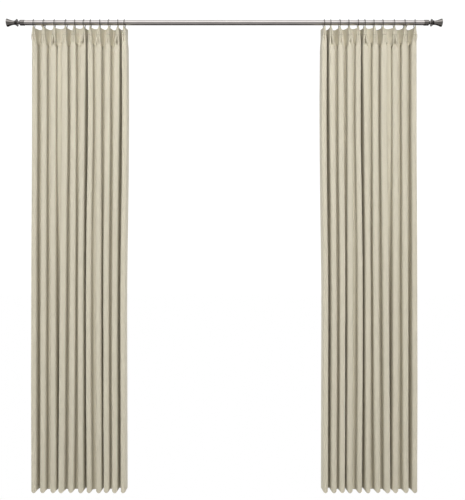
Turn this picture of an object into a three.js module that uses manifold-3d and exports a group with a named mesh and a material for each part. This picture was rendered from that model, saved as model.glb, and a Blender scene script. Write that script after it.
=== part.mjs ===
// A pair of pinch-pleated curtain panels that hang by metal rings from one wall-mounted rod.
// Millimetres. X runs along the rod, Y towards the wall, Z up.
// The origin lies on the rod's axis, midway between the two finials.
import * as THREE from "three";
import { mergeVertices } from "three/addons/utils/BufferGeometryUtils.js";
import Module from "manifold-3d";

const wasm = await Module();
wasm.setup();

const clearance = 0.3; // left between pieces that touch
const quarter = Math.PI / 2;

// The rod: two tubes butted over a sleeve at the middle.
const rod = { radius: 12.7, wall: 1.2, length: 2148, sides: 24 };
const splice = { wall: 2, length: 160 };

// The cap that closes each end of the rod, and the bevel round its outer edge.
const endCap = { wall: 1.35, lap: 22, plate: 6.4, bevel: 6 };

// The hourglass finial, along its own axis from the cap outwards.
const finial = {
  neckRadius: 6.75,
  neckLength: 8,
  innerRim: 18.8,
  rimEdge: 2.4,
  waistRadius: 10.75,
  waistAt: 29,
  outerRim: 20.5,
  length: 64,
  dish: 1.5,
  sides: 20,
};

// The threaded stud that draws the finial up against the cap.
const stud = { radius: 4, inCap: 12, inFinial: 16, sides: 12 };

// The rings, each with a small eyelet below for a drapery hook.
const ring = { inside: 19, wire: 3, slack: 0.6, sides: 6, steps: 16 };
const eyelet = { radius: 3.4, wire: 2, sink: 0.6, sides: 5, steps: 8 };

// The wall brackets.
const projection = 89; // from the wall to the rod's axis
const bracketInset = 116.5; // from the rod's end to the middle of a bracket
const arm = { width: 12, top: -13, bottom: -22, footTop: -16, footBottom: -48, footDepth: 9 };
const cradle = { wall: 3.5, frontLip: 15, backLip: 15, steps: 14 };
const plate = { width: 44, height: 60, thickness: 6, corner: 6, middle: -44 };
const plateHoles = { radius: 2.6, spread: 14, lift: 13 };
const lockScrew = { radius: 2, length: 15, headRadius: 5, headLength: 4, sides: 12 };

// The fabric, as it hangs with the panels drawn back.
const panelLength = 2438;
const headerDrop = 29; // from the rod's axis down to the top of the header
const fabricThickness = 1.2;
const foldFront = -37; // the face of the pleats
const foldBack = 58; // the bottom of the troughs between them
const foldRound = 14; // how deep each rounded turn is
const joinGap = 0.6; // between the fabric of neighbouring pleats
const firstRingInset = 71; // from the rod's end to the outermost ring
// From each ring to the next, outermost first. Hand-hung gathers are never quite even.
const gathers = [54, 55, 61, 46, 49, 34, 49, 48, 47, 35];
const outerEdge = { reach: 13, back: 34 };
const leadingEdge = { reach: 23, back: 22 };

const colours = {
  linen: { color: 0xcdc7b4, roughness: 0.92, metalness: 0 },
  nickel: { color: 0xb9b1ad, roughness: 0.32, metalness: 1 },
  darkNickel: { color: 0x8d8580, roughness: 0.26, metalness: 1 },
  steel: { color: 0x9a9894, roughness: 0.42, metalness: 1 },
};

const rodEnd = rod.length / 2;
const capEnd = rodEnd + clearance + endCap.plate;
const finialStart = capEnd + clearance;
const ringRadius = ring.inside + ring.wire / 2;
const ringCentre = rod.radius + ring.slack - ring.inside;
const headerTop = -headerDrop;
const bracketAt = rodEnd - bracketInset;

const curtains = new THREE.Group();

function add(name, geometry, look) {
  const mesh = new THREE.Mesh(geometry, new THREE.MeshStandardMaterial(colours[look]));
  mesh.name = name;
  curtains.add(mesh);
  return mesh;
}

// A closed geometry as a solid that can be joined or cut.
function solidFrom(geometry) {
  geometry.deleteAttribute("normal");
  geometry.deleteAttribute("uv");
  const merged = mergeVertices(geometry);
  const mesh = new wasm.Mesh({
    numProp: 3,
    vertProperties: merged.attributes.position.array,
    triVerts: new Uint32Array(merged.index.array),
  });
  return new wasm.Manifold(mesh);
}

function geometryFrom(solid) {
  const mesh = solid.getMesh();
  const geometry = new THREE.BufferGeometry();
  geometry.setAttribute("position", new THREE.BufferAttribute(mesh.vertProperties, 3));
  geometry.setIndex(new THREE.BufferAttribute(mesh.triVerts, 1));
  return geometry;
}

// A turned piece lies along X: side 1 points to the right, and side -1 to the left.
function turned(points, sides, side) {
  return new THREE.LatheGeometry(points, sides).rotateZ(-side * quarter);
}

function tubeProfile(inner, outer, from, to) {
  const corners = [
    [inner, from],
    [outer, from],
    [outer, to],
    [inner, to],
    [inner, from],
  ];
  return corners.map(([r, x]) => new THREE.Vector2(r, x));
}

function profile(corners) {
  return corners.map(([r, x]) => new THREE.Vector2(r, x));
}

function rodTube(side) {
  const inner = rod.radius - rod.wall;
  return turned(tubeProfile(inner, rod.radius, clearance / 2, rodEnd), rod.sides, side);
}

function spliceSleeve() {
  const outer = rod.radius - rod.wall - clearance;
  const half = splice.length / 2;
  return turned(tubeProfile(outer - splice.wall, outer, -half, half), rod.sides, 1);
}

// A sleeve over the rod's end, with a bevelled end plate that the stud passes through.
function endCapSolid(side) {
  const bore = rod.radius + clearance;
  const outer = bore + endCap.wall;
  const hole = stud.radius + clearance;
  const plateAt = rodEnd + clearance;
  const corners = [
    [hole, plateAt],
    [bore, plateAt],
    [bore, rodEnd - endCap.lap],
    [outer, rodEnd - endCap.lap],
    [outer, capEnd - endCap.bevel],
    [outer - endCap.bevel, capEnd],
    [hole, capEnd],
    [hole, plateAt],
  ];
  return turned(profile(corners), rod.sides, side);
}

// The finial's outline from its blind stud hole, along the neck and over both rims.
function finialSolid(side) {
  const hole = stud.radius + clearance;
  const holeEnd = stud.inFinial + clearance;
  const innerFace = finial.neckLength + finial.rimEdge;
  const outerFace = finial.length - finial.rimEdge;
  const outline = new THREE.Path();
  outline.moveTo(0, holeEnd);
  outline.lineTo(hole, holeEnd);
  outline.lineTo(hole, 0);
  outline.lineTo(finial.neckRadius, 0);
  outline.lineTo(finial.neckRadius, finial.neckLength);
  outline.lineTo(finial.innerRim - 1, finial.neckLength);
  outline.lineTo(finial.innerRim, innerFace - 1);
  outline.bezierCurveTo(
    finial.innerRim - 2,
    innerFace + 3,
    finial.waistRadius,
    finial.waistAt - 9,
    finial.waistRadius,
    finial.waistAt,
  );
  outline.bezierCurveTo(
    finial.waistRadius,
    finial.waistAt + 13,
    finial.outerRim - 3,
    outerFace - 9,
    finial.outerRim,
    outerFace,
  );
  outline.lineTo(finial.outerRim - 1, finial.length);
  outline.lineTo(finial.outerRim - 4, finial.length);
  outline.lineTo(0, finial.length - finial.dish);
  return turned(outline.getPoints(5), finial.sides, side);
}

function studSolid(side) {
  const start = capEnd - stud.inCap;
  const end = finialStart + stud.inFinial;
  const corners = [
    [0, start],
    [stud.radius, start],
    [stud.radius, end],
    [0, end],
  ];
  return turned(profile(corners), stud.sides, side);
}

function ringSolid() {
  const hoop = new THREE.TorusGeometry(ringRadius, ring.wire / 2, ring.sides, ring.steps);
  const eye = new THREE.TorusGeometry(eyelet.radius, eyelet.wire / 2, eyelet.sides, eyelet.steps);
  hoop.rotateY(quarter);
  eye.rotateX(quarter);
  eye.translate(0, 0, -(ringRadius + eyelet.radius + eyelet.sink));
  return geometryFrom(solidFrom(hoop).add(solidFrom(eye)));
}

// Half of a fold in plan, from the middle of its nose to the middle of the trough beside it.
function foldHalf(width) {
  const nose = width / 2;
  const hollow = width / 2 - joinGap / 2;
  const front = foldFront + fabricThickness / 2;
  const back = foldBack - fabricThickness / 2;
  const points = [];
  for (let step = 0; step <= 4; step += 1) {
    const turn = (quarter * step) / 4;
    points.push([nose * Math.sin(turn), front + foldRound * (1 - Math.cos(turn))]);
  }
  for (let step = 0; step <= 4; step += 1) {
    const turn = (quarter * step) / 4;
    const across = nose + hollow * (1 - Math.cos(turn));
    points.push([across, back - foldRound * (1 - Math.sin(turn))]);
  }
  return points;
}

// Half of a fold whose fabric ends in a free side edge.
function edgeHalf(edge) {
  const front = foldFront + fabricThickness / 2;
  const points = [];
  for (let step = 0; step <= 4; step += 1) {
    const turn = (quarter * step) / 4;
    points.push([foldRound * Math.sin(turn) * 0.8, front + foldRound * (1 - Math.cos(turn))]);
  }
  points.push([edge.reach, edge.back]);
  return points;
}

// A line in plan, thickened into a closed outline.
function ribbon(line) {
  const left = [];
  const right = [];
  line.forEach((point, i) => {
    const before = line[Math.max(i - 1, 0)];
    const after = line[Math.min(i + 1, line.length - 1)];
    const along = new THREE.Vector2(after[0] - before[0], after[1] - before[1]).normalize();
    const offset = along.multiplyScalar(fabricThickness / 2);
    left.push(new THREE.Vector2(point[0] - offset.y, point[1] + offset.x));
    right.unshift(new THREE.Vector2(point[0] + offset.y, point[1] - offset.x));
  });
  return new THREE.Shape([...left, ...right]);
}

// The fabric of one pleat, from the trough on its outer side to the trough on its inner side.
function pleatSolid(index, side) {
  const outward = index === 0 ? edgeHalf(outerEdge) : foldHalf(gathers[index - 1] / 2);
  const last = index === gathers.length;
  const inward = last ? edgeHalf(leadingEdge) : foldHalf(gathers[index] / 2);
  const outer = outward.slice(1).reverse();
  const line = [...outer.map(([u, v]) => [-u, v]), ...inward];
  const placed = line.map(([u, v]) => [-side * u, v]);
  return new THREE.ExtrudeGeometry(ribbon(placed), { depth: panelLength, bevelEnabled: false });
}

// The arm and its open-topped cradle, as one outline across the rod: first axis to the wall, second up.
function armOutline() {
  const inner = rod.radius + clearance;
  const outer = inner + cradle.wall;
  const lipFront = Math.PI + THREE.MathUtils.degToRad(cradle.frontLip);
  const lipBack = 2 * Math.PI + THREE.MathUtils.degToRad(cradle.backLip);
  const foot = projection - plate.thickness - clearance;
  const meetsTop = 2 * Math.PI + Math.asin(arm.top / outer);
  const meetsBottom = 1.5 * Math.PI - 0.2;
  const outline = new THREE.Shape();
  outline.moveTo(inner * Math.cos(lipBack), inner * Math.sin(lipBack));
  outline.absarc(0, 0, inner, lipBack, lipFront, true);
  outline.absarc(0, 0, outer, lipFront, meetsBottom, false);
  outline.lineTo(outer, arm.bottom);
  outline.lineTo(foot - arm.footDepth, arm.bottom);
  outline.lineTo(foot, arm.footBottom);
  outline.lineTo(foot, arm.footTop);
  outline.lineTo(foot - arm.footDepth, arm.top);
  outline.lineTo(outer * Math.cos(meetsTop), arm.top);
  outline.absarc(0, 0, outer, meetsTop, lipBack, false);
  return outline;
}

// Turns a piece extruded along Z, with its outline's axes to the wall and up, to lie across the rod.
const acrossRod = new THREE.Matrix4().makeBasis(
  new THREE.Vector3(0, 1, 0),
  new THREE.Vector3(0, 0, 1),
  new THREE.Vector3(1, 0, 0),
);

function armSolid() {
  const options = { depth: arm.width, bevelEnabled: false, curveSegments: cradle.steps };
  const body = new THREE.ExtrudeGeometry(armOutline(), options);
  body.translate(0, 0, -arm.width / 2);
  body.applyMatrix4(acrossRod);
  const screwHole = new THREE.CylinderGeometry(
    lockScrew.radius + clearance,
    lockScrew.radius + clearance,
    3 * cradle.wall,
    lockScrew.sides,
  );
  screwHole.translate(0, rod.radius + cradle.wall, 0);
  return geometryFrom(solidFrom(body).subtract(solidFrom(screwHole)));
}

// A rounded plate with a screw hole on each side of the arm's foot.
function plateSolid() {
  const halfWidth = plate.width / 2;
  const halfHeight = plate.height / 2;
  const r = plate.corner;
  const outline = new THREE.Shape();
  outline.moveTo(-halfWidth + r, -halfHeight);
  outline.lineTo(halfWidth - r, -halfHeight);
  outline.absarc(halfWidth - r, -halfHeight + r, r, -quarter, 0, false);
  outline.lineTo(halfWidth, halfHeight - r);
  outline.absarc(halfWidth - r, halfHeight - r, r, 0, quarter, false);
  outline.lineTo(-halfWidth + r, halfHeight);
  outline.absarc(-halfWidth + r, halfHeight - r, r, quarter, 2 * quarter, false);
  outline.lineTo(-halfWidth, -halfHeight + r);
  outline.absarc(-halfWidth + r, -halfHeight + r, r, 2 * quarter, 3 * quarter, false);
  for (const at of [-plateHoles.spread, plateHoles.spread]) {
    const hole = new THREE.Path();
    hole.absarc(at, plateHoles.lift, plateHoles.radius, 0, 4 * quarter, true);
    outline.holes.push(hole);
  }
  const options = { depth: plate.thickness, bevelEnabled: false, curveSegments: 5 };
  const body = new THREE.ExtrudeGeometry(outline, options);
  return body.rotateX(quarter).translate(0, projection, 0);
}

// A knurled-head screw that holds the rod against the cradle's front lip.
function lockScrewSolid() {
  const tip = rod.radius + clearance;
  const headAt = tip + lockScrew.length;
  const corners = [
    [0, tip],
    [lockScrew.radius, tip],
    [lockScrew.radius, headAt],
    [lockScrew.headRadius, headAt],
    [lockScrew.headRadius, headAt + lockScrew.headLength],
    [0, headAt + lockScrew.headLength],
  ];
  return new THREE.LatheGeometry(profile(corners), lockScrew.sides);
}

add("rod_splice", spliceSleeve(), "steel");

for (const [hand, side] of [["left", -1], ["right", 1]]) {
  add(`${hand}_rod`, rodTube(side), "nickel");
  add(`${hand}_end_cap`, endCapSolid(side), "darkNickel");
  add(`${hand}_finial_stud`, studSolid(side), "steel");
  add(`${hand}_finial`, finialSolid(side), "darkNickel").position.x = side * finialStart;

  add(`${hand}_bracket_arm`, armSolid(), "nickel").position.x = side * bracketAt;
  add(`${hand}_lock_screw`, lockScrewSolid(), "steel").position.x = side * bracketAt;
  add(`${hand}_wall_plate`, plateSolid(), "nickel").position.set(side * bracketAt, 0, plate.middle);

  let at = rodEnd - firstRingInset;
  for (let index = 0; index <= gathers.length; index += 1) {
    const number = String(index + 1).padStart(2, "0");
    add(`${hand}_ring_${number}`, ringSolid(), "darkNickel").position.set(side * at, 0, ringCentre);
    const fabric = add(`${hand}_fabric_${number}`, pleatSolid(index, side), "linen");
    fabric.position.set(side * at, 0, headerTop - panelLength);
    at -= gathers[index];
  }
}

export default curtains;
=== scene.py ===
import math

import bmesh
import bpy
import numpy as np
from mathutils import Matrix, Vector


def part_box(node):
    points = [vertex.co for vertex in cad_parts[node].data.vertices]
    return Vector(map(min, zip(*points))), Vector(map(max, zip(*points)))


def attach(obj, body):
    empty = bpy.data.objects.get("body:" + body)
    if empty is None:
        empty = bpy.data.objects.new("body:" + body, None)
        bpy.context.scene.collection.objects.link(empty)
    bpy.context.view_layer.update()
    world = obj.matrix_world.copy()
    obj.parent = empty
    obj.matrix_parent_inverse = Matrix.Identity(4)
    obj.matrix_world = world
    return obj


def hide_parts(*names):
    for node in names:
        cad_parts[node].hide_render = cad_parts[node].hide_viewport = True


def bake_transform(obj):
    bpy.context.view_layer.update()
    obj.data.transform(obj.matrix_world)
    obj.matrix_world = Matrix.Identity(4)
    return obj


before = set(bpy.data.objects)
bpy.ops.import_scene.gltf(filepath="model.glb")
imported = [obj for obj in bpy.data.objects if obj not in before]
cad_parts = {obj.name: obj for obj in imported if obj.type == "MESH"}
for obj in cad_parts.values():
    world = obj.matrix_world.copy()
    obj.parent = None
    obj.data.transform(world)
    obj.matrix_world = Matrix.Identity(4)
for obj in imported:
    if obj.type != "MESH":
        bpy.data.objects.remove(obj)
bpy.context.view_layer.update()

hands = {"left": -1, "right": 1}  # which way each panel lies along X
pleatCount = 11
print("frame loaded")


def nodeBox(node):
    low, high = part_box(node)
    return np.array(low), np.array(high)


def nodeMiddle(node):
    low, high = nodeBox(node)
    return (low + high) / 2


# how far each ring hangs from the middle of the rod, outermost first
ringPlaces = [nodeMiddle(f"right_ring_{i + 1:02d}")[0] for i in range(pleatCount)]
clothLow, clothHigh = nodeBox("right_fabric_05")
headerTop = clothHigh[2]
drop = headerTop - clothLow[2]


camera = {"away": 3.0, "eyeLevel": 1.197, "lens": 41.0, "shift": 0.0164}


def placeCamera():
    data = bpy.data.cameras.new("camera")
    data.lens = camera["lens"]
    data.sensor_width = 36
    data.shift_x = camera["shift"]
    data.clip_end = 60
    holder = bpy.data.objects.new("camera", data)
    bpy.context.scene.collection.objects.link(holder)
    holder.location = (0, -camera["away"], -camera["eyeLevel"])
    holder.rotation_euler = (math.radians(90), 0, 0)
    bpy.context.scene.camera = holder


placeCamera()
print("camera placed")


def meshPiece(name, points, faces, material, sharpAngle=0.7):
    mesh = bpy.data.meshes.new(name)
    mesh.from_pydata([tuple(p) for p in points], [], faces)
    mesh.validate()
    mesh.polygons.foreach_set("use_smooth", [True] * len(mesh.polygons))
    mesh.set_sharp_from_angle(angle=sharpAngle)
    mesh.materials.append(material)
    piece = bpy.data.objects.new(name, mesh)
    bpy.context.scene.collection.objects.link(piece)
    return piece


def addShape(points, faces, newPoints, newFaces):
    start = len(points)
    points.extend(newPoints)
    faces.extend(tuple(start + i for i in face) for face in newFaces)


def softCorners(corners, radius, steps=4):
    # rounds the inner corners of an outline with short arcs
    line = [corners[0]]
    for before, corner, after in zip(corners, corners[1:], corners[2:]):
        here = np.array(corner, float)
        back = np.array(before, float) - here
        on = np.array(after, float) - here
        cut = min(radius, 0.45 * np.linalg.norm(back), 0.45 * np.linalg.norm(on))
        first = here + back / np.linalg.norm(back) * cut
        last = here + on / np.linalg.norm(on) * cut
        for step in range(steps + 1):
            t = step / steps
            line.append(tuple((1 - t) ** 2 * first + 2 * t * (1 - t) * here + t * t * last))
    line.append(corners[-1])
    return line


def curveThrough(padded, perStep):
    # a Catmull-Rom line; the first and last points only steer it
    t = (np.arange(perStep) / perStep)[:, None]
    line = []
    for a, b, c, d in zip(padded, padded[1:], padded[2:], padded[3:]):
        bend = (2 * a - 5 * b + 4 * c - d) * t ** 2 + (3 * b - a - 3 * c + d) * t ** 3
        line.append(0.5 * (2 * b + (c - a) * t + bend))
    return np.vstack(line + [padded[-2:-1]])


def smoothLine(knots, perStep=6):
    knots = np.array(knots, float)
    return curveThrough(np.vstack([2 * knots[0] - knots[1], knots, 2 * knots[-1] - knots[-2]]), perStep)


def turnedShape(outline, sides):
    # outline is (along, radius), turned round the X axis; a zero radius closes an end
    points, faces, rows = [], [], []
    for along, radius in outline:
        if radius < 1e-7:
            rows.append([len(points)])
            points.append((along, 0, 0))
            continue
        row = []
        for i in range(sides):
            turn = 2 * math.pi * i / sides
            row.append(len(points))
            points.append((along, radius * math.cos(turn), radius * math.sin(turn)))
        rows.append(row)
    for low, high in zip(rows, rows[1:]):
        for i in range(sides):
            j = (i + 1) % sides
            if len(low) == 1:
                faces.append((low[0], high[j], high[i]))
            elif len(high) == 1:
                faces.append((low[i], low[j], high[0]))
            else:
                faces.append((low[i], low[j], high[j], high[i]))
    return np.array(points), faces


def turnedPiece(name, outline, sides, material, side=1, at=0.0, closed=False):
    outline = list(outline) + [outline[0]] if closed else outline
    points, faces = turnedShape(outline, sides)
    points[:, 0] = side * points[:, 0] + at
    if side < 0:
        faces = [tuple(reversed(face)) for face in faces]
    piece = meshPiece(name, points, faces, material)
    tidyShell(piece)
    return piece


def tidyShell(piece):
    # welds the seam of a closed outline and turns every face outwards
    shell = bmesh.new()
    shell.from_mesh(piece.data)
    bmesh.ops.remove_doubles(shell, verts=shell.verts, dist=1e-6)
    bmesh.ops.recalc_face_normals(shell, faces=shell.faces)
    shell.to_mesh(piece.data)
    shell.free()
    piece.data.set_sharp_from_angle(angle=0.7)


def wireShape(path, radius, sides=10, closed=False):
    # a round wire along a path, with domed ends when it is open
    path = np.array(path, float)
    count = len(path)
    ahead = np.roll(path, -1, 0) - np.roll(path, 1, 0)
    if not closed:
        ahead[0] = path[1] - path[0]
        ahead[-1] = path[-1] - path[-2]
    ahead /= np.linalg.norm(ahead, axis=1)[:, None]
    across = np.cross(ahead[0], (0.31, 0.17, 0.93))
    across /= np.linalg.norm(across)
    points, faces = [], []
    sizes = [radius] * count
    if not closed:
        sizes[0] = sizes[-1] = radius * 0.45
    for i in range(count):
        across = across - ahead[i] * np.dot(across, ahead[i])
        across /= np.linalg.norm(across)
        up = np.cross(ahead[i], across)
        for j in range(sides):
            turn = 2 * math.pi * j / sides
            points.append(path[i] + sizes[i] * (math.cos(turn) * across + math.sin(turn) * up))
    for i in range(count if closed else count - 1):
        k = (i + 1) % count
        for j in range(sides):
            n = (j + 1) % sides
            faces.append((i * sides + j, i * sides + n, k * sides + n, k * sides + j))
    if not closed:
        faces.append(tuple(reversed(range(sides))))
        faces.append(tuple(range((count - 1) * sides, count * sides)))
    return points, faces


def wirePiece(name, path, radius, material, sides=10, closed=False):
    points, faces = wireShape(path, radius, sides, closed)
    piece = meshPiece(name, points, faces, material, 1.2)
    tidyShell(piece)
    return piece


def boxShape(middle, along, across, up):
    # a small block from its middle and three half-edges
    corners = []
    for a in (-1, 1):
        for b in (-1, 1):
            for c in (-1, 1):
                corners.append(middle + a * along + b * across + c * up)
    sides = [(0, 1, 3, 2), (4, 6, 7, 5), (0, 4, 5, 1), (2, 3, 7, 6), (0, 2, 6, 4), (1, 5, 7, 3)]
    return corners, sides


class Nodes:
    # a short way to write a material's nodes
    def __init__(self, name):
        self.material = bpy.data.materials.new(name)
        self.material.use_nodes = True
        self.tree = self.material.node_tree
        self.shader = self.tree.nodes["Principled BSDF"]

    def add(self, kind, **settings):
        node = self.tree.nodes.new(kind)
        for key, value in settings.items():
            setattr(node, key, value)
        return node

    def link(self, output, socket):
        self.tree.links.new(output, socket)

    def noise(self, vector, scale, detail=3.0, roughness=0.5):
        node = self.add("ShaderNodeTexNoise")
        node.inputs["Scale"].default_value = scale
        node.inputs["Detail"].default_value = detail
        node.inputs["Roughness"].default_value = roughness
        self.link(vector, node.inputs["Vector"])
        return node.outputs["Fac"]

    def stretched(self, vector, scale):
        node = self.add("ShaderNodeMapping")
        node.inputs["Scale"].default_value = scale
        self.link(vector, node.inputs["Vector"])
        return node.outputs["Vector"]

    def math(self, operation, first, second=None):
        node = self.add("ShaderNodeMath", operation=operation)
        for socket, value in zip(node.inputs, (first, second)):
            if value is None:
                continue
            if isinstance(value, (int, float)):
                socket.default_value = value
            else:
                self.link(value, socket)
        return node.outputs[0]

    def ramp(self, factor, stops):
        node = self.add("ShaderNodeValToRGB")
        ends = node.color_ramp.elements
        while len(ends) < len(stops):
            ends.new(0.5)
        for end, (place, colour) in zip(ends, stops):
            end.position = place
            end.color = (*colour, 1) if len(colour) == 3 else colour
        self.link(factor, node.inputs["Fac"])
        return node.outputs["Color"]

    def mix(self, factor, first, second, blend="MIX"):
        node = self.add("ShaderNodeMix", data_type="RGBA", blend_type=blend)
        for socket, value in zip((node.inputs[0], node.inputs[6], node.inputs[7]), (factor, first, second)):
            if isinstance(value, (int, float)):
                socket.default_value = value
            elif isinstance(value, tuple):
                socket.default_value = (*value, 1)
            else:
                self.link(value, socket)
        return node.outputs[2]

    def bump(self, height, strength, distance, under=None):
        node = self.add("ShaderNodeBump")
        node.inputs["Strength"].default_value = strength
        node.inputs["Distance"].default_value = distance
        self.link(height, node.inputs["Height"])
        if under is not None:
            self.link(under, node.inputs["Normal"])
        return node.outputs["Normal"]


linen = {
    "light": (0.655, 0.612, 0.492),
    "dark": (0.585, 0.541, 0.425),
    "shade": (0.46, 0.42, 0.33),  # between the yarns
    "yarnPitch": 0.0011,  # metres from one yarn to the next
    "roughness": 0.9,
    "sheen": 0.18,
}


def linenCloth():
    n = Nodes("linen_cloth")
    place = n.add("ShaderNodeUVMap", uv_map="weave").outputs["UV"]
    # slubs: thick and thin places that run along the warp and, shorter, along the weft
    warp = n.noise(n.stretched(place, (420, 9, 1)), 1.0, 3, 0.6)
    weft = n.noise(n.stretched(place, (14, 520, 1)), 1.0, 3, 0.6)
    wide = n.noise(n.stretched(place, (60, 1.6, 1)), 1.0, 2, 0.5)
    cloud = n.noise(n.stretched(place, (5, 3, 1)), 1.0, 2, 0.5)
    tone = n.math("ADD", n.math("MULTIPLY", warp, 0.34), n.math("MULTIPLY", weft, 0.26))
    tone = n.math("ADD", tone, n.math("MULTIPLY", wide, 0.26))
    tone = n.math("ADD", tone, n.math("MULTIPLY", cloud, 0.14))
    colour = n.ramp(tone, [(0.36, linen["dark"]), (0.64, linen["light"])])
    # the plain weave itself: two crossed sets of yarns
    turns = 2 * math.pi / linen["yarnPitch"]
    split = n.add("ShaderNodeSeparateXYZ")
    n.link(place, split.inputs[0])
    over = n.math("SINE", n.math("MULTIPLY", split.outputs["X"], turns))
    under = n.math("SINE", n.math("MULTIPLY", split.outputs["Y"], turns))
    weave = n.math("MULTIPLY", over, under)
    yarn = n.math("ADD", n.math("MULTIPLY", weave, 0.5), 0.5)
    colour = n.mix(n.math("MULTIPLY", yarn, 0.10), colour, linen["shade"])
    n.link(colour, n.shader.inputs["Base Color"])
    height = n.math("ADD", n.math("MULTIPLY", yarn, 0.5), n.math("MULTIPLY", warp, 0.5))
    fine = n.bump(height, 0.35, 0.0003)
    slubs = n.bump(n.math("ADD", wide, weft), 0.12, 0.0008, fine)
    n.link(slubs, n.shader.inputs["Normal"])
    rough = n.math("ADD", n.math("MULTIPLY", warp, 0.1), linen["roughness"] - 0.05)
    n.link(rough, n.shader.inputs["Roughness"])
    n.shader.inputs["Sheen Weight"].default_value = linen["sheen"]
    n.shader.inputs["Sheen Roughness"].default_value = 0.5
    n.shader.inputs["Specular IOR Level"].default_value = 0.2
    return n.material


def cottonThread():
    n = Nodes("cotton_thread")
    place = n.add("ShaderNodeTexCoord").outputs["Object"]
    twist = n.noise(n.stretched(place, (900, 900, 900)), 1.0, 2)
    colour = n.ramp(twist, [(0.35, linen["shade"]), (0.65, (0.62, 0.58, 0.47))])
    n.link(colour, n.shader.inputs["Base Color"])
    n.link(n.bump(twist, 0.4, 0.0002), n.shader.inputs["Normal"])
    n.shader.inputs["Roughness"].default_value = 0.8
    return n.material


metals = {
    "rod": {"light": (0.625, 0.585, 0.565), "dark": (0.575, 0.535, 0.515), "roughness": 0.33, "bump": 0.10,
            "grain": (30, 900, 900)},
    # the finial and end cap are the same nickel as the rod; their much darker colour is painted shade,
    # standing in for the dark reflections on their polished curves
    "finial": {"light": (0.24, 0.225, 0.215), "dark": (0.205, 0.19, 0.18), "roughness": 0.06, "bump": 0.02,
               "grain": (700, 60, 60)},
    # the rings are the same nickel as well; their darker colour is painted shade, for the shade on the ring
    # tops and insides where they sit on the rod
    "ring": {"light": (0.26, 0.24, 0.23), "dark": (0.21, 0.195, 0.185), "roughness": 0.10, "bump": 0.03,
             "grain": (500, 500, 500)},
    "bracket": {"light": (0.60, 0.56, 0.54), "dark": (0.50, 0.47, 0.45), "roughness": 0.34, "bump": 0.12,
                "grain": (400, 400, 90)},
    "zinc": {"light": (0.58, 0.58, 0.57), "dark": (0.42, 0.42, 0.41), "roughness": 0.40, "bump": 0.15,
             "grain": (300, 300, 300)},
}


def platedMetal(kind):
    # satin plate: a fine brushed grain with soft, cloudy changes of shade and a few rub marks
    look = metals[kind]
    n = Nodes(f"{kind}_metal")
    place = n.add("ShaderNodeTexCoord").outputs["Object"]
    grain = n.noise(n.stretched(place, look["grain"]), 1.0, 4, 0.6)
    cloud = n.noise(n.stretched(place, (18, 26, 26)), 1.0, 3, 0.5)
    rubs = n.noise(n.stretched(place, (160, 60, 60)), 1.0, 6, 0.7)
    shade = n.math("ADD", n.math("MULTIPLY", grain, 0.5), n.math("MULTIPLY", cloud, 0.5))
    n.link(n.ramp(shade, [(0.35, look["dark"]), (0.62, look["light"])]), n.shader.inputs["Base Color"])
    rough = n.math("ADD", n.math("MULTIPLY", grain, 0.3), n.math("MULTIPLY", rubs, 0.3))
    rough = n.math("MULTIPLY", n.math("ADD", rough, 0.7), look["roughness"])
    n.link(rough, n.shader.inputs["Roughness"])
    n.link(n.bump(grain, look["bump"], 0.0002), n.shader.inputs["Normal"])
    n.shader.inputs["Metallic"].default_value = 1
    n.shader.inputs["Anisotropic"].default_value = 0.3
    return n.material


cloth = linenCloth()
thread = cottonThread()
metal = {kind: platedMetal(kind) for kind in metals}
print("materials made")


panel = {
    "thickness": 0.0010,
    "doubled": 0.0009,      # what a turned hem or the header band adds at the back
    "band": 0.100,          # depth of the stiffened header
    "hem": 0.076,
    "sideHem": 0.038,
    "tack": 0.046,          # where each pinch is stitched, below the top
    "fingerDepth": 0.029,
    "fingerWidth": (0.0045, 0.0100),  # at the top, at the tack
    "roundness": 0.011,     # how far a fold's rounded front reaches back
    "pinchBase": -0.0075,   # how far in front of the rod's axis the fingers start
    "stitchEvery": 0.0065,
    "dent": 0.0004,         # how far a seam pulls the cloth in
    "hemFront": -0.036,
    "hemCurl": 0.011,       # how much the hem turns up at the sides of a fold
    "settle": 0.004,        # the hem hangs this much short of its cut length
    "samples": 40,          # along the cloth for half a fold
    "deepFrom": 0.040,      # shallower troughs than this have cloth tucked behind the folds
    "tuckedBack": 0.040,
    "spanFlat": 0.224,      # width of cloth in two pleat halves and the space between them
    "edgeFlat": 0.088,      # half a pleat and the free edge
}

# Each fold is a little different. Everything is in millimetres, outermost first.
folds = {
    "front": [-36, -35, -36, -37, -34, -37, -36, -37, -35, -37, -36],
    "wide": [29, 31, 31, 34, 31, 29, 28, 29, 30, 30, 27],
    "opening": [62, 66, 80, 70, 66, 76, 66, 76, 74, 76, 62],
    # how deep the dimple is where the two fingers part
    "dimple": [3, 3, 15, 3, 3, 14, 3, 8, 6, 15, 4],
    # how far the fingertips lean outwards at the top, and at the tack
    "lean": [[-9, -11], [-7, -8], [-9, -7], [-6, 0], [-5, 0], [-5, -5], [-7, -5], [-5, 1], [-6, 0], [-6, -3],
             [-2, -2]],
    # how far each fold wanders outwards from its ring: under the header, part way, half way, at the hem
    "drift": [
        [-14, -14, -10, -10],
        [-9, -9, -5, -3],
        [-4, -3, -1, -2],
        [0, 0, 9, 17],
        [1, 1, 5, 13],
        [-1, 2, 11, 10],
        [-5, -6, 5, 1],
        [0, 0, 2, -1],
        [1, 2, 10, 8],
        [1, 3, 12, 11],
        [-3, -5, 4, 2],
    ],
}
driftHeights = [0.11, 0.37, 1.41, drop]
# how far back each trough lies, in millimetres: in the header, under it, and at the hem
troughs = [[27, -5, 12], [27, -11, -3], [13, -18, 30], [27, -7, -2], [8, -11, -1],
           [22, 40, 20], [13, -14, -6], [22, -7, 30], [30, -7, 0], [27, 36, 20]]
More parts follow.
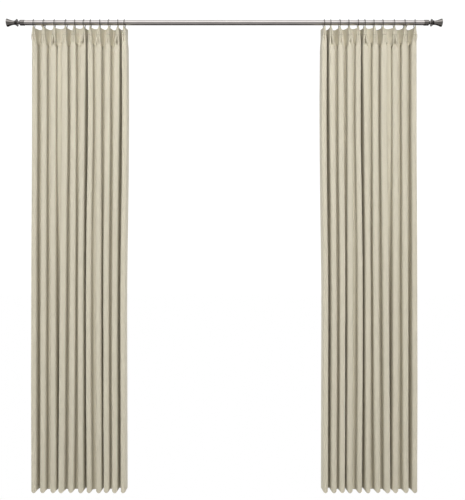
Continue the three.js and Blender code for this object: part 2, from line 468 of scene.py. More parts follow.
# the free side edges of a panel: how far from the end pleat they hang, at the header and low down,
# and how far back
sideEdges = {"outer": {"reach": 0.008, "low": 0.0135, "back": 0.030},
             "leading": {"reach": 0.014, "low": 0.0135, "back": 0.024}}


def ease(x):
    x = np.clip(x, 0, 1)
    return x * x * (3 - 2 * x)


def between(heights, values, h):
    # a smooth curve through a few values
    values = np.array(values, float)
    i = int(np.clip(np.searchsorted(heights, h) - 1, 0, len(heights) - 2))
    slopes = np.gradient(values, heights)
    span = heights[i + 1] - heights[i]
    t = (h - heights[i]) / span
    return ((2 * t ** 3 - 3 * t ** 2 + 1) * values[i] + (t ** 3 - 2 * t ** 2 + t) * span * slopes[i]
            + (3 * t ** 2 - 2 * t ** 3) * values[i + 1] + (t ** 3 - t ** 2) * span * slopes[i + 1])


def crestPlace(k, h):
    # the middle of a fold; in the header it is where the ring holds it
    drift = between(driftHeights, folds["drift"][k], float(np.clip(h, driftHeights[0], drop)))
    wave = 0.3 * math.sin(7.1 * h + 2.3 * k) * ease((h - 0.1) / 0.4)
    return ringPlaces[k] + (drift + wave) / 1000 * opening(k, h)


def spaced(line, count, packed=True):
    # the same line in even steps, or with more of them in its first part, where the fingers are
    steps = np.concatenate([[0], np.cumsum(np.linalg.norm(np.diff(line, axis=0), axis=1))])
    at = np.linspace(0, 1, count)
    if packed:
        at = np.interp(at, [0, 0.66, 1], [0, 0.42, 1])
    at = at * steps[-1]
    return np.stack([np.interp(at, steps, line[:, 0]), np.interp(at, steps, line[:, 1])], 1)


def smoothHalf(knots, perStep=7):
    # a smooth line whose ends run straight across, so that it meets its mirror image
    knots = np.array(knots, float)
    first = knots[1] * (-1, 1) + knots[0] * (2, 0)
    last = knots[-2] * (-1, 1) + knots[-1] * (2, 0)
    return curveThrough(np.vstack([first, knots, last]), perStep)


def fingers(k, h):
    # from the crease between the two fingers, round one finger to its base
    base, tip = panel["pinchBase"], panel["pinchBase"] - panel["fingerDepth"]
    w = fingerWidth(h)
    crease = min(panel["fingerDepth"], 0.0045 + folds["dimple"][k] ** 2 / 9000)
    return [
        (0, tip + crease),
        (0.0005, tip + crease * 0.9),
        (0.0003, tip + crease * 0.6),
        (0.0004, tip + 0.0022),
        (w * 0.3, tip + 0.0002),
        (w * 0.6, tip),
        (w * 0.9, tip + 0.0028),
        (w, tip + 0.009),
        (w + 0.0004, (base + tip) / 2 + 0.003),
        (w + 0.0012, base),
    ]


def fingerWidth(h):
    # nipped in at the very top, fuller towards the tack
    top, foot = panel["fingerWidth"]
    return top + (foot - top) * ease(h / panel["tack"])


def pinchedHalf(k, reach, trough, h):
    # the fingers and the cloth behind them, back to the trough
    base, w = panel["pinchBase"], fingerWidth(h)
    return fingers(k, h) + [
        (w + 0.0025, base + 0.004),
        (w + (reach - w) * 0.42, base + (trough - base) * 0.58),
        (w + (reach - w) * 0.74, base + (trough - base) * 0.93),
        (reach, trough),
    ]


def partingHalf(reach, front, trough, dimple):
    # half way from a pinch to a round fold: a dimple still shows between the two fingers
    side = min(0.0125, reach * 0.7)
    return [
        (0, front + 0.002 + dimple),
        (0.0020, front + 0.001 + dimple * 0.75),
        (side * 0.45, front + 0.0008),
        (side * 0.9, front + 0.003),
        (side, front + 0.013),
        (side + 0.0004, (front + trough) / 2),
        (side + (reach - side) * 0.3, trough - 0.008),
        (side + (reach - side) * 0.7, trough - 0.001),
        (reach, trough),
    ]


def roundedFront(front, nose, depth):
    return [(0, front), (nose * 0.5, front + depth * 0.05), (nose * 0.9, front + depth * 0.34),
            (nose, front + depth)]


def deepHalf(reach, front, trough, nose):
    depth, hollow, gap = panel["roundness"], 0.012, reach - nose
    return roundedFront(front, nose, depth) + [
        (nose - 0.0004, (front + depth + trough - hollow) / 2),
        (nose + gap * 0.10, trough - hollow),
        (nose + gap * 0.45, trough - hollow * 0.22),
        (reach, trough),
    ]


def tuckedHalf(reach, front, trough, nose):
    # a shallow trough: the rest of the cloth lies tucked behind the folds
    depth, back, gap = panel["roundness"], panel["tuckedBack"], reach - nose
    return roundedFront(front, nose, depth) + [
        (nose - 0.0004, trough - 0.001),
        (nose - 0.0060, trough + 0.009),
        (nose - 0.0075, back - 0.005),
        (nose - 0.0052, back),
        (nose - 0.0036, back - 0.006),
        (nose - 0.0036, trough + 0.007),
        (nose + min(0.0004, gap * 0.1), trough + 0.0012),
        (reach, trough),
    ]


def troughPlace(g, h):
    # how far back the trough lies: in the header, under it, and at the hem
    header, upper, lower = (row / 1000 for row in troughs[g])
    body = upper + (lower - upper) * ease((h - 0.5) / (drop - 0.6))
    settled = ease((h + 0.02) / 0.16)
    return header + (body - header) * settled + 0.0008 * math.sin(5.3 * h + 1.9 * g) * settled


def stages(opens, pinched, parting, opened):
    # a pinch that opens by way of the parting shape
    pinched, parting, opened = (spaced(line, panel["samples"]) for line in (pinched, parting, opened))
    steer = 2 * parting - (pinched + opened) / 2
    return (1 - opens) ** 2 * pinched + 2 * opens * (1 - opens) * steer + opens ** 2 * opened


def opening(k, h):
    return ease((h - panel["tack"]) / (folds["opening"][k] / 1000))


def frontPlace(k, h):
    return folds["front"][k] / 1000 + 0.0004 * math.sin(6.1 * h + 2.9 * k)


def noseWidth(k, h):
    return folds["wide"][k] / 2000 * (1 + 0.015 * math.sin(4.7 * h + 1.3 * k))


def leaning(k, h, line, opens):
    # the fingers lean a little to one side in front of the ring
    lean = between([0, panel["tack"], 0.2], folds["lean"][k] + [folds["lean"][k][1]], min(h, 0.2)) / 1000
    forward = np.clip((panel["pinchBase"] - line[:, 1]) / panel["fingerDepth"], 0, 1.1)
    return lean * forward * (1 - opens)


def halfFold(k, g, towards, h):
    # from the middle of fold k to the middle of the trough on one side: (place along the rod, depth)
    outer, inner = crestPlace(g, h), crestPlace(g + 1, h)
    opens = opening(k, h)
    spread = ease((h - panel["tack"]) / 0.06)
    middle = (outer - noseWidth(g, h) * spread + inner + noseWidth(g + 1, h) * spread) / 2
    reach = abs(crestPlace(k, h) - middle)
    front, trough = frontPlace(k, h), troughPlace(g, h)
    nose = min(noseWidth(k, h), reach * 0.86)
    tucked = np.clip((panel["deepFrom"] - trough) / 0.025, 0, 1)
    deep = spaced(smoothHalf(deepHalf(reach, front, trough, nose)), 60, False)
    shallow = spaced(smoothHalf(tuckedHalf(reach, front, min(trough, 0.026), nose)), 60, False)
    opened = deep * (1 - tucked) + shallow * tucked
    line = stages(opens, smoothHalf(pinchedHalf(k, reach, trough, h)),
                  smoothHalf(partingHalf(reach, front, trough, folds["dimple"][k] / 1000)), opened)
    along = crestPlace(k, h) + towards * line[:, 0] + leaning(k, h, line, opens)
    return np.stack([along, line[:, 1]], 1)


def spanLine(k, h):
    first = halfFold(k, k, -1, h)
    second = halfFold(k + 1, k, 1, h)
    return np.vstack([first, second[::-1][1:]])


def edgeLine(k, towards, h):
    # from the middle of an end fold to the free side edge
    edge = sideEdges["outer" if towards > 0 else "leading"]
    front, nose, depth, base = frontPlace(k, h), noseWidth(k, h), panel["roundness"], panel["pinchBase"]
    opens = opening(k, h)
    reach, back = edge["reach"], edge["back"]
    w = fingerWidth(h)
    pinched = fingers(k, h) + [
        (w + 0.0025, base + 0.004),
        ((w + reach) / 2 + 0.001, (base + back) / 2),
        (reach, back),
    ]
    parting = partingHalf(0.0170, front, back, folds["dimple"][k] / 1000)[:6] + [(reach, back)]
    low = ease((h - 0.2) / 1.6)
    reachLow = reach * (1 - low) + edge["low"] * low
    opened = roundedFront(front, nose, depth) + [
        (nose - 0.0005, front + depth + 0.012),
        ((nose + reachLow) / 2, (front + depth + back) / 2 + 0.004),
        (reachLow, back + 0.004),
    ]
    line = stages(opens, *(smoothLine(shape, 7) for shape in (pinched, parting, opened)))
    along = crestPlace(k, h) + towards * line[:, 0] + leaning(k, h, line, opens)
    return np.stack([along, line[:, 1]], 1)


def outerLine(h):
    return edgeLine(0, 1, h)[::-1]


def leadingLine(h):
    return edgeLine(pleatCount - 1, -1, h)


def clothRows():
    # closer together where the pinches open, and on each side of a hem's stitching
    top = np.linspace(0, 0.18, 37)
    body = np.linspace(0.18, drop, 110)[1:]
    near = [-0.004, -0.0015, -0.0005, 0.0, 0.0005, 0.0015, 0.004]
    lines = [panel["band"], drop - panel["hem"]]
    extra = [line + step for line in lines for step in near]
    rows = np.unique(np.round(np.concatenate([top, body, extra]), 5))
    keep = [rows[0]]
    for h in rows[1:]:
        if h - keep[-1] > 0.0004:
            keep.append(h)
    keep[-1] = drop
    return np.array(keep)


clothHeights = clothRows()


def backsOf(line):
    # the direction towards the wall side of the cloth, at each point of a plan line
    along = np.gradient(line, axis=0)
    away = np.stack([along[:, 1], -along[:, 0]], 1)
    return away / np.linalg.norm(away, axis=1)[:, None]


def hemRise(line, crests, h):
    # the hem hangs lowest at the middle of each fold
    aside = np.min([abs(line[:, 0] - crest) for crest in crests], axis=0)
    deeper = np.clip((line[:, 1] - panel["hemFront"] - 0.012) / 0.05, 0, 1)
    curl = panel["hemCurl"] * np.clip(aside / 0.0145, 0, 1) ** 2 * (1 - 0.6 * deeper)
    return panel["settle"] * ease(h / drop) + curl * ease((h - drop + 0.35) / 0.35)


def clothShell(name, lines, pleats, side, edgeAt=None):
    # a closed shell: the face, the back with its hems, and the narrow edges between them
    faces, face, back, flat = [], [], [], []
    for h, line in zip(clothHeights, lines):
        away = backsOf(line)
        run = np.concatenate([[0], np.cumsum(np.linalg.norm(np.diff(line, axis=0), axis=1))])
        doubled = 1.0 if h < panel["band"] or h > drop - panel["hem"] else 0.0
        extra = np.full(len(line), doubled)
        if edgeAt == "first":
            extra = np.maximum(extra, run < panel["sideHem"])
        if edgeAt == "last":
            extra = np.maximum(extra, run > run[-1] - panel["sideHem"])
        thick = panel["thickness"] + panel["doubled"] * extra
        seams = (panel["band"], drop - panel["hem"])
        dent = sum(panel["dent"] * math.exp(-(((h - at) / 0.0012) ** 2)) for at in seams)
        front = line + away * dent
        rear = line + away * thick[:, None]
        z = headerTop - h + hemRise(line, [crestPlace(k, h) for k in pleats], h)
        face.append(np.stack([side * front[:, 0], front[:, 1], z], 1))
        back.append(np.stack([side * rear[:, 0], rear[:, 1], z], 1))
        flat.append([(r, h) for r in run])
    rows, columns = len(face), len(face[0])
    points = [p for row in face for p in row] + [p for row in back for p in row]
    spot = [p for row in flat for p in row] * 2
    half = rows * columns
    for i in range(rows - 1):
        for j in range(columns - 1):
            a, b = i * columns + j, i * columns + j + 1
            c, d = a + columns, b + columns
            faces.append((a, b, d, c))
            faces.append((half + a, half + c, half + d, half + b))
    for i in range(rows - 1):
        for j in (0, columns - 1):
            a, c = i * columns + j, (i + 1) * columns + j
            faces.append((a, c, half + c, half + a) if j == 0 else (a, half + a, half + c, c))
    for j in range(columns - 1):
        for i in (0, rows - 1):
            a, b = i * columns + j, i * columns + j + 1
            faces.append((a, half + a, half + b, b) if i == 0 else (a, b, half + b, half + a))
    if side > 0:
        faces = [tuple(reversed(f)) for f in faces]
    piece = meshPiece(name, points, faces, cloth, 1.1)
    layer = piece.data.uv_layers.new(name="weave")
    places = np.array(spot)[[loop.vertex_index for loop in piece.data.loops]]
    layer.uv.foreach_set("vector", places.astype(np.float32).ravel())
    return piece


def stitching(name, lineAt, pleats, side):
    # the machine stitches that hold the header band and the hem, on the wall side
    points, faces = [], []
    for h in (0.006, panel["band"] - 0.003, drop - panel["hem"] + 0.003):
        line = lineAt(h)
        away = backsOf(line)
        run = np.concatenate([[0], np.cumsum(np.linalg.norm(np.diff(line, axis=0), axis=1))])
        for at in np.arange(panel["stitchEvery"] / 2, run[-1], panel["stitchEvery"]):
            here = np.array([np.interp(at, run, line[:, 0]), np.interp(at, run, line[:, 1])])
            out = np.array([np.interp(at, run, away[:, 0]), np.interp(at, run, away[:, 1])])
            if h < 0.2 and here[1] < panel["pinchBase"] + 0.008:
                continue  # inside a pinch nothing shows
            out /= np.linalg.norm(out)
            depth = panel["thickness"] + panel["doubled"] + 0.0001
            middle = here + out * depth
            rise = hemRise(here[None, :], [crestPlace(k, h) for k in pleats], h)[0]
            middle = np.array([side * middle[0], middle[1], headerTop - h + rise])
            along = np.array([side * out[1], -out[0], 0]) * 0.0019
            outwards = np.array([side * out[0], out[1], 0]) * 0.00025
            addShape(points, faces, *boxShape(middle, along, np.array([0, 0, 0.00035]), outwards))
    return meshPiece(name, points, faces, thread, 0.5)


def hangCloth(name, lines, lineAt, pleats, side, edgeAt=None):
    return (clothShell(name, lines, pleats, side, edgeAt),
            stitching(name.replace("cloth", "stitches"), lineAt, pleats, side))


def spanCloth(k):
    # the cloth between two pleats, for both panels: it opens as the pleats part
    lines = [spanLine(k, h) for h in clothHeights]
    for hand, side in hands.items():
        name = f"{hand}_cloth_{k + 1:02d}_{k + 2:02d}"
        parts = hangCloth(name, lines, lambda h: spanLine(k, h), (k, k + 1), side)
        for part in parts:
            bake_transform(part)
        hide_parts(f"{hand}_fabric_{k + 1:02d}")


def endCloth(edge, k, lineAt, edgeAt):
    # the half fold and the free side edge at one end of each panel
    lines = [lineAt(h) for h in clothHeights]
    for hand, side in hands.items():
        parts = hangCloth(f"{hand}_cloth_{edge}_edge", lines, lineAt, (k,), side, edgeAt)
        for part in parts:
            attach(part, f"{hand}_pleat_{k + 1:02d}")
        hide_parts(f"{hand}_fabric_{k + 1:02d}")


endCloth("outer", 0, outerLine, "first")
for k in range(pleatCount - 1):
    spanCloth(k)
    print("cloth hung from pleat", k + 1)
endCloth("leading", pleatCount - 1, leadingLine, "last")
print("panels hung")


hook = {"wire": 0.0007, "pinTop": -0.042, "turn": -0.094, "over": -0.0312}
tack = {"passes": 5, "wire": 0.00035}


def drapeHook(name, x, material):
    # a bent pin: up through the header, down its back, and over into the ring's eyelet
    base = panel["pinchBase"] + panel["thickness"] + panel["doubled"] + 0.0006
    path = smoothLine([
        (x, base, hook["pinTop"]), (x, base, -0.06), (x, base, hook["turn"] + 0.004),
        (x, base + 0.0015, hook["turn"]), (x, base + 0.0035, hook["turn"] + 0.004),
        (x, base + 0.0045, -0.07), (x, base + 0.0065, -0.045), (x, 0.0040, -0.034),
        (x, 0.0010, hook["over"]), (x, -0.0022, -0.0335), (x, -0.0028, -0.039),
    ])
    return wirePiece(name, path, hook["wire"], material, 8)


def pinchTack(name, x, lean):
    # hand stitches that hold the foot of the two leaning fingers together
    points, faces = [], []
    w, out = fingerWidth(panel["tack"]), tack["wire"] * 0.8
    tip = panel["pinchBase"] - panel["fingerDepth"]
    for i in range(tack["passes"]):
        z = headerTop - panel["tack"] + (i - 2) * 0.0011
        half = [(0, tip + 0.0016), (w * 0.3, tip + 0.0002 - out), (w * 0.6, tip - out),
                (w * 0.9 + out, tip + 0.0028 - out), (w + out, tip + 0.0090), (w - 0.0006, tip + 0.0120)]
        whole = [(-across, deep) for across, deep in half[:0:-1]] + half
        path = [(x + across + lean * (panel["pinchBase"] - deep) / panel["fingerDepth"], deep, z)
                for across, deep in whole]
        addShape(points, faces, *wireShape(smoothLine(path, 4), tack["wire"], 6))
    return meshPiece(name, points, faces, thread, 1.0)


for hand, side in hands.items():
    for k in range(pleatCount):
        number = f"{k + 1:02d}"
        x = side * ringPlaces[k]
        lean = side * folds["lean"][k][1] / 1000
        parts = (drapeHook(f"{hand}_hook_{number}", x, metal["zinc"]),
                 pinchTack(f"{hand}_tack_{number}", x, lean))
        for part in parts:
            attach(part, f"{hand}_pleat_{number}")
print("hooks and tacks made")


ringShape = {"wire": 0.0015, "turns": [3, -1, 4, -2, 6, -4, 2, 5, -6, 3, -3]}


def ringPiece(hand, side, k):
    number = f"{k + 1:02d}"
    node = f"{hand}_ring_{number}"
    low, high = nodeBox(node)
    radius = (high[1] - low[1]) / 2 - ringShape["wire"]
    x, centre = nodeMiddle(node)[0], high[2] - radius - ringShape["wire"]
    turn = math.radians(side * ringShape["turns"][k])
    hoop = [(x + radius * math.cos(a) * math.sin(turn), radius * math.cos(a) * math.cos(turn),
             centre + radius * math.sin(a)) for a in np.linspace(0, 2 * math.pi, 72, endpoint=False)]
    points, faces = wireShape(hoop, ringShape["wire"], 14, True)
    eye, middle = 0.0034, low[2] + 0.0044
    loop = [(x + eye * math.cos(a), 0, middle + eye * math.sin(a))
            for a in np.linspace(0, 2 * math.pi, 28, endpoint=False)]
    addShape(points, faces, *wireShape(loop, 0.001, 10, True))
    # the ring wire takes the darkened nickel, which is painted shade
    piece = meshPiece(f"{node}_polished", points, faces, metal["ring"], 1.2)
    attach(piece, f"{hand}_pleat_{number}")
    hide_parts(node)


for hand, side in hands.items():
    for k in range(pleatCount):
        ringPiece(hand, side, k)
print("rings made")


rodWork = {"wall": 0.0012, "edge": 0.0003, "sides": 72}
cap = {"wall": 0.00135, "bevel": 0.006, "edge": 0.0006, "sides": 72}
finialWork = {
    "neck": 0.00675,
    "sides": 96,
    # along from the cap, radius
    "flare": [(0.0098, 0.0188), (0.0112, 0.0184), (0.0150, 0.0150), (0.0190, 0.0122), (0.0240, 0.0109),
              (0.0290, 0.01075), (0.0350, 0.0115), (0.0420, 0.0134), (0.0500, 0.0161), (0.0570, 0.0188),
              (0.0612, 0.0203)],
}


def onRoot(piece, slot, *nodes):
    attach(piece, "root")
    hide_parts(*nodes)


def hardwareEnd(hand, side):
    low, high = nodeBox(f"{hand}_rod")
    radius = (high[2] - low[2]) / 2
    start, end = sorted(abs(np.array([low[0], high[0]])))
    outline = softCorners([(start, radius - rodWork["wall"]), (start, radius), (end, radius),
                           (end, radius - rodWork["wall"])], rodWork["edge"], 3)
    tube = turnedPiece(f"{hand}_rod_tube", outline, rodWork["sides"], metal["rod"], side, closed=True)
    onRoot(tube, "rod_nickel", f"{hand}_rod")

    low, high = nodeBox(f"{hand}_end_cap")
    outer = (high[2] - low[2]) / 2
    start, end = sorted(abs(np.array([low[0], high[0]])))
    bore, hole = outer - cap["wall"], 0.0043
    plateAt = end - 0.0064
    outline = softCorners([(plateAt, hole), (plateAt, bore), (start, bore), (start, outer),
                           (end - cap["bevel"], outer), (end, outer - cap["bevel"]), (end, hole)],
                          cap["edge"], 3)
    # the end cap and the finial take the darkened nickel, which is painted shade for their dark reflections
    piece = turnedPiece(f"{hand}_end_cap_turned", outline, cap["sides"], metal["finial"], side, closed=True)
    onRoot(piece, "finial_nickel", f"{hand}_end_cap")

    low, high = nodeBox(f"{hand}_finial")
    start, end = sorted(abs(np.array([low[0], high[0]])))
    length, rim = end - start, (high[2] - low[2]) / 2
    neck = finialWork["neck"]
    foot = softCorners([(0.0163, 0.0), (0.0163, 0.0043), (0.0, 0.0043), (0.0, neck), (0.0074, neck),
                        (0.0080, neck + 0.002), (0.0080, 0.0172), (0.0086, 0.0188), (0.0098, 0.0188)],
                       cap["edge"], 3)
    flare = smoothLine(finialWork["flare"], 5)
    face = softCorners([tuple(flare[-1]), (0.0622, rim), (0.0634, rim), (length, rim - 0.0011),
                        (length, rim - 0.0035), (length - 0.0012, rim - 0.0062), (length - 0.0015, 0.0)],
                       0.0008, 3)
    outline = foot[:-1] + [tuple(p) for p in flare[:-1]] + face
    piece = turnedPiece(f"{hand}_finial_turned", outline, finialWork["sides"], metal["finial"],
                        side, side * start)
    onRoot(piece, "finial_nickel", f"{hand}_finial")

    low, high = nodeBox(f"{hand}_finial_stud")
    start, end = sorted(abs(np.array([low[0], high[0]])))
    core, crest, pitch = 0.0033, 0.004, 0.00125
    outline = [(start, 0.0), (start, core)]
    for i in range(int((end - start) / pitch)):
        outline += [(start + (i + 0.25) * pitch, core), (start + (i + 0.6) * pitch, crest),
                    (start + (i + 0.75) * pitch, crest)]
    outline += [(end, core), (end, 0.0)]
    piece = turnedPiece(f"{hand}_stud_thread", outline, 32, metal["zinc"], side)
    onRoot(piece, "zinc_steel", f"{hand}_finial_stud")


for hand, side in hands.items():
    hardwareEnd(hand, side)

low, high = nodeBox("rod_splice")
sleeveBore = 0.0092
outline = softCorners([(low[0], sleeveBore), (low[0], high[2]), (high[0], high[2]), (high[0], sleeveBore)],
                      0.0008, 3)
sleeve = turnedPiece("rod_splice_sleeve", outline, 64, metal["zinc"], closed=True)
onRoot(sleeve, "zinc_steel", "rod_splice")
print("rod and finials made")


bracket = {"wall": 0.0035, "lip": 15, "soften": 0.0008, "armTop": -0.013, "armBottom": -0.022,
           "screwSpread": 0.014, "screwLift": 0.013}


def slab(name, outline, low, high, axis, material, soften):
    # an outline given thickness along one axis, with its edges eased
    shell = bmesh.new()
    others = [i for i in range(3) if i != axis]
    rings = []
    for at in (low, high):
        ring = []
        for a, b in outline:
            point = [0.0, 0.0, 0.0]
            point[axis], point[others[0]], point[others[1]] = at, a, b
            ring.append(shell.verts.new(point))
        rings.append(ring)
    count = len(outline)
    ends = [shell.faces.new(rings[0]), shell.faces.new(rings[1])]
    for i in range(count):
        j = (i + 1) % count
        shell.faces.new((rings[0][i], rings[0][j], rings[1][j], rings[1][i]))
    bmesh.ops.recalc_face_normals(shell, faces=shell.faces)
    rim = [edge for face in ends for edge in face.edges]
    bmesh.ops.bevel(shell, geom=rim, offset=soften, segments=3, affect="EDGES", profile=0.6)
    bmesh.ops.triangulate(shell, faces=[f for f in shell.faces if len(f.verts) > 4])
    mesh = bpy.data.meshes.new(name)
    shell.to_mesh(mesh)
    shell.free()
    mesh.polygons.foreach_set("use_smooth", [True] * len(mesh.polygons))
    mesh.set_sharp_from_angle(angle=0.6)
    mesh.materials.append(material)
    piece = bpy.data.objects.new(name, mesh)
    bpy.context.scene.collection.objects.link(piece)
    return piece


def arc(middle, radius, first, last, steps):
    return [(middle[0] + radius * math.cos(a), middle[1] + radius * math.sin(a))
            for a in np.radians(np.linspace(first, last, steps))]


def bracketSet(hand):
    low, high = nodeBox(f"{hand}_bracket_arm")
    rodRadius = (nodeBox(f"{hand}_rod")[1][2] - nodeBox(f"{hand}_rod")[0][2]) / 2
    inner = rodRadius + 0.0003
    outer = inner + bracket["wall"]
    foot, top, bottom = high[1], bracket["armTop"], bracket["armBottom"]
    meets = 360 + math.degrees(math.asin(top / outer))  # where the cradle runs into the arm
    outline = (arc((0, 0), inner, 360 + bracket["lip"], 180 + bracket["lip"], 40)
               + arc((0, 0), outer, 180 + bracket["lip"], 258, 18)
               + softCorners([(outer * 0.1, -outer - 0.002), (outer, bottom), (foot - 0.009, bottom),
                              (foot, low[2])], 0.006, 5)
               + softCorners([(foot, low[2] + 0.001), (foot, top - 0.003), (foot - 0.009, top),
                              (outer * math.cos(math.radians(meets)), top)], 0.004, 5)[1:-1]
               + arc((0, 0), outer, meets, 360 + bracket["lip"], 16))
    arm = slab(f"{hand}_bracket_arm_forged", outline, low[0], high[0], 0, metal["bracket"],
               bracket["soften"])
    onRoot(arm, "bracket_nickel", f"{hand}_bracket_arm")

    low, high = nodeBox(f"{hand}_wall_plate")
    middle = (low + high) / 2
    r, halfX, halfZ = 0.006, (high[0] - low[0]) / 2, (high[2] - low[2]) / 2
    outline = []
    for x, z, first in ((halfX - r, -halfZ + r, -90), (halfX - r, halfZ - r, 0),
                        (-halfX + r, halfZ - r, 90), (-halfX + r, -halfZ + r, 180)):
        outline += arc((middle[0] + x, middle[2] + z), r, first, first + 90, 9)
    plate = slab(f"{hand}_wall_plate_pressed", outline, low[1], high[1], 1, metal["bracket"], 0.0012)
    onRoot(plate, "bracket_nickel", f"{hand}_wall_plate")

    for label, way in (("left", -1), ("right", 1)):
        wallScrew(f"{hand}_wall_screw_{label}", middle[0] + way * bracket["screwSpread"], low[1],
                  middle[2] + bracket["screwLift"])

    low, high = nodeBox(f"{hand}_lock_screw")
    thumbScrew(hand, (low[0] + high[0]) / 2, low[1], high[1])


def standing(outline, sides, x, y, z, direction=1):
    # a turned shape whose axis runs towards the wall
    points, faces = turnedShape(outline, sides)
    return [np.array((x + p[1], y + direction * p[0], z + p[2])) for p in points], faces


def wallScrew(name, x, y, z):
    # a domed head with a cross recess
    outline = [(0.0, 0.0044), (-0.0008, 0.0043), (-0.0017, 0.0034), (-0.0023, 0.0018), (-0.0024, 0.0)]
    points, faces = standing([(0.0002, 0.0)] + outline, 36, x, y, z)
    for turn in (0, 90):
        c, s = math.cos(math.radians(turn)), math.sin(math.radians(turn))
        addShape(points, faces, *boxShape(np.array((x, y - 0.00235, z)), np.array((c, 0, s)) * 0.0016,
                                          np.array((-s, 0, c)) * 0.0004, np.array((0, 0.00012, 0))))
    piece = meshPiece(name, points, faces, metal["zinc"])
    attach(piece, "root")


def thumbScrew(hand, x, tip, end):
    # a thin shank and a head with a knurled edge
    head = end - 0.004
    outline = softCorners([(tip, 0.0), (tip, 0.002), (head, 0.002), (head, 0.0048), (end, 0.0048),
                           (end, 0.0)], 0.0005, 3)
    points, faces = standing(outline, 40, x, 0, 0)
    for i, p in enumerate(points):
        around = math.hypot(p[0] - x, p[2])
        if around > 0.0045:
            grow = 1 + (0.035 if i % 2 else -0.02)
            points[i] = np.array((x + (p[0] - x) * grow, p[1], p[2] * grow))
    piece = meshPiece(f"{hand}_lock_screw_knurled", points, faces, metal["zinc"], 0.4)
    onRoot(piece, "zinc_steel", f"{hand}_lock_screw")


for hand in hands:
    bracketSet(hand)
print("brackets made")


studio = {
    "floorGap": 0.012,
    "floorSize": 14.0,
    "white": (0.8, 0.8, 0.8),
    # how bright the room is at each angle round the rod, in degrees up from level in front
    "room": [(-180, 0.6), (-168, 0.5), (-150, 0.05), (-100, 0.03), (-82, 0.1), (-68, 0.7), (-57, 0.7),
             (-47, 0.22), (-28, 0.45), (-8, 0.4), (10, 0.5), (20, 0.7), (27, 2.0), (40, 2.0), (54, 1.7),
             (80, 1.7), (97, 0.12), (138, 0.08), (160, 0.5), (180, 0.6)],
    "sides": (0.5, 0.85, 0.12),  # towards its two ends the room falls dark: from, to, how bright
    "softness": 0.40,       # how much of that falls on matt surfaces
    "backdrop": 1.05,       # how bright the empty background is
}


def paleFloor():
    # a shadowless white floor, which still throws back light like a painted one
    n = Nodes("pale_floor")
    n.shader.inputs["Base Color"].default_value = (*studio["white"], 1)
    n.shader.inputs["Roughness"].default_value = 0.9
    n.shader.inputs["Specular IOR Level"].default_value = 0.0
    seen = n.add("ShaderNodeEmission")
    seen.inputs["Color"].default_value = (1, 1, 1, 1)
    mix = n.add("ShaderNodeMixShader")
    n.link(n.add("ShaderNodeLightPath").outputs["Is Camera Ray"], mix.inputs[0])
    n.link(n.shader.outputs[0], mix.inputs[1])
    n.link(seen.outputs[0], mix.inputs[2])
    n.link(mix.outputs[0], n.tree.nodes["Material Output"].inputs["Surface"])
    size, z = studio["floorSize"], headerTop - drop - studio["floorGap"]
    floor = meshPiece("floor", [(-size, -size, z), (size, -size, z), (size, size, z), (-size, size, z)],
                      [(0, 1, 2, 3)], n.material)
    floor.visible_glossy = False


# where each light stands and what it is aimed at, its width and height, its watts and how wide it spreads;
# a pair has one light for each panel, mirrored
panelMiddle = (ringPlaces[0] + ringPlaces[-1]) / 2
lights = {
    "light": {"place": (panelMiddle + 1.25, -3.0, -1.4), "target": (panelMiddle, 0, -1.45),
              "size": (0.6, 3.3), "watts": 9.9, "spread": 75, "pair": True},
    "front_light": {"place": (0, -4.2, -1.4), "target": (0, 0, -1.4),
                    "size": (3.2, 3.0), "watts": 37.5, "spread": 180, "pair": False},
    "top_light": {"place": (0, -1.7, 1.1), "target": (0, 0, -0.1),
                  "size": (2.6, 0.4), "watts": 4.6, "spread": 60, "pair": False},
    "back_light": {"place": (0, 4.2, -1.0), "target": (0, 0, -1.2),
                   "size": (3.2, 3.0), "watts": 190, "spread": 180, "pair": False},
    "side_light": {"place": (3.6, 0.75, -1.2), "target": (0.9, 0, -1.25),
                   "size": (0.6, 2.6), "watts": 7, "spread": 60, "pair": True},
}


def areaLight(name, light, side=1):
    data = bpy.data.lights.new(name, "AREA")
    data.shape = "RECTANGLE"
    data.size, data.size_y = light["size"]
    data.energy = light["watts"]
    data.spread = math.radians(light["spread"])
    lamp = bpy.data.objects.new(name, data)
    bpy.context.scene.collection.objects.link(lamp)
    place, target = (Vector((side * x, y, z)) for x, y, z in (light["place"], light["target"]))
    lamp.location = place
    lamp.rotation_euler = (target - place).to_track_quat("-Z", "Y").to_euler()
    lamp.visible_glossy = False


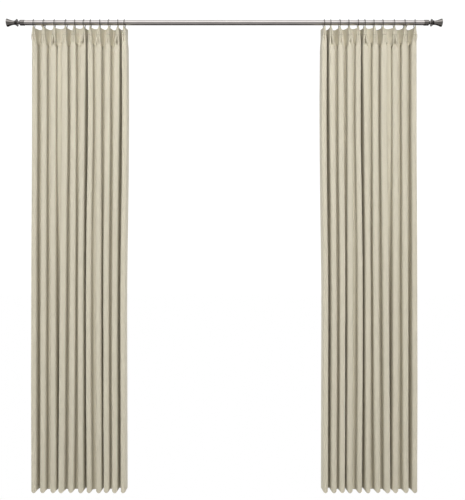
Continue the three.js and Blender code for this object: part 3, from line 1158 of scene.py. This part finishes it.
def studioWorld():
    # white where the camera looks; for light and reflections a room of soft bright bands
    world = bpy.data.worlds.new("studio")
    bpy.context.scene.world = world
    world.use_nodes = True
    nodes, links = world.node_tree.nodes, world.node_tree.links
    back = nodes["Background"]
    # the angle round the rod: level in front is 0, straight up is a quarter turn
    place, split = nodes.new("ShaderNodeTexCoord"), nodes.new("ShaderNodeSeparateXYZ")
    links.new(place.outputs["Generated"], split.inputs[0])
    front, angle = nodes.new("ShaderNodeMath"), nodes.new("ShaderNodeMath")
    front.operation, angle.operation = "MULTIPLY", "ARCTAN2"
    front.inputs[1].default_value = -1
    links.new(split.outputs["Y"], front.inputs[0])
    links.new(split.outputs["Z"], angle.inputs[0])
    links.new(front.outputs[0], angle.inputs[1])
    height = nodes.new("ShaderNodeMapRange")
    height.inputs["From Min"].default_value = -math.pi
    height.inputs["From Max"].default_value = math.pi
    links.new(angle.outputs[0], height.inputs["Value"])
    ramp = nodes.new("ShaderNodeValToRGB")
    ends = ramp.color_ramp.elements
    while len(ends) < len(studio["room"]):
        ends.new(0.5)
    for end, (at, bright) in zip(ends, studio["room"]):
        end.position = (at + 180) / 360
        end.color = (bright, bright, bright, 1)
    links.new(height.outputs["Result"], ramp.inputs["Fac"])
    links.new(ramp.outputs["Color"], back.inputs["Color"])
    path = nodes.new("ShaderNodeLightPath")
    strength = nodes.new("ShaderNodeMapRange")
    strength.inputs["To Min"].default_value = studio["softness"]
    links.new(path.outputs["Is Glossy Ray"], strength.inputs["Value"])
    sideways, falls, product = (nodes.new(f"ShaderNode{kind}") for kind in ("Math", "MapRange", "Math"))
    sideways.operation, product.operation = "ABSOLUTE", "MULTIPLY"
    falls.inputs["From Min"].default_value, falls.inputs["From Max"].default_value = studio["sides"][:2]
    falls.inputs["To Min"].default_value, falls.inputs["To Max"].default_value = 1, studio["sides"][2]
    links.new(split.outputs["X"], sideways.inputs[0])
    links.new(sideways.outputs[0], falls.inputs["Value"])
    links.new(falls.outputs["Result"], product.inputs[0])
    links.new(strength.outputs["Result"], product.inputs[1])
    links.new(product.outputs[0], back.inputs["Strength"])
    seen = nodes.new("ShaderNodeBackground")
    seen.inputs["Color"].default_value = (1, 1, 1, 1)
    seen.inputs["Strength"].default_value = studio["backdrop"]
    mix = nodes.new("ShaderNodeMixShader")
    links.new(path.outputs["Is Camera Ray"], mix.inputs[0])
    links.new(back.outputs[0], mix.inputs[1])
    links.new(seen.outputs[0], mix.inputs[2])
    links.new(mix.outputs[0], nodes["World Output"].inputs["Surface"])


paleFloor()
studioWorld()
for name, light in lights.items():
    if light["pair"]:
        for hand, side in hands.items():
            areaLight(f"{hand}_{name}", light, side)
    else:
        areaLight(name, light)
bpy.context.scene.view_settings.view_transform = "Standard"
print("studio lit")
